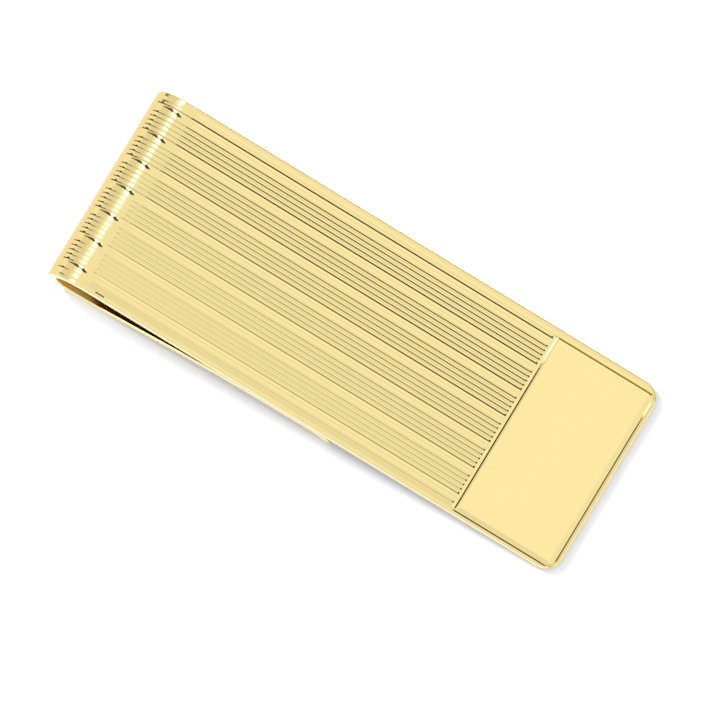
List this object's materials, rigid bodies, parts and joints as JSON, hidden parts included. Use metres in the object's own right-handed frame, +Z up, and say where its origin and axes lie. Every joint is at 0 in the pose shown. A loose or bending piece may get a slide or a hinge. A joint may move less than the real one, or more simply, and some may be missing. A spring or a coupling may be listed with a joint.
{
  "type": "money clip",
  "caption": "Folded spring-strip money clip with a lined face plate, a bevelled engraving panel and a sprung back leaf.",
  "frame": {"origin": "centre of the bounding box on the surface that the clip lies on", "axes": "+X along the clip from the fold to the plate's free end, +Y across it, +Z up; the clip lies face up on the belly of its fold and its free end, so the face plate slopes 5.2 degrees down towards +X"},
  "size_m": [0.051, 0.0188, 0.0051],
  "materials": {
    "gold_lined": "gold plated, milled lines between plain ribs",
    "gold_polished": "gold plated, polished"
  },
  "bodies": {
    "face": {"face_plate": "gold_lined", "engraving_panel": "gold_polished", "fold_upper": "gold_lined"},
    "leaf": {"fold_lower": "gold_lined", "back_leaf": "gold_polished", "leaf_lip": "gold_polished"}
  },
  "joints": [
    {"name": "leaf_flex", "type": "hinge", "parent": "face", "child": "leaf", "pos_m": [-0.02551, 0, 0.00275], "axis": [0, 1, 0], "range_deg": [0, 9], "stiffness_Nm_per_rad": 0.6, "springref_deg": -5.73}
  ]
}
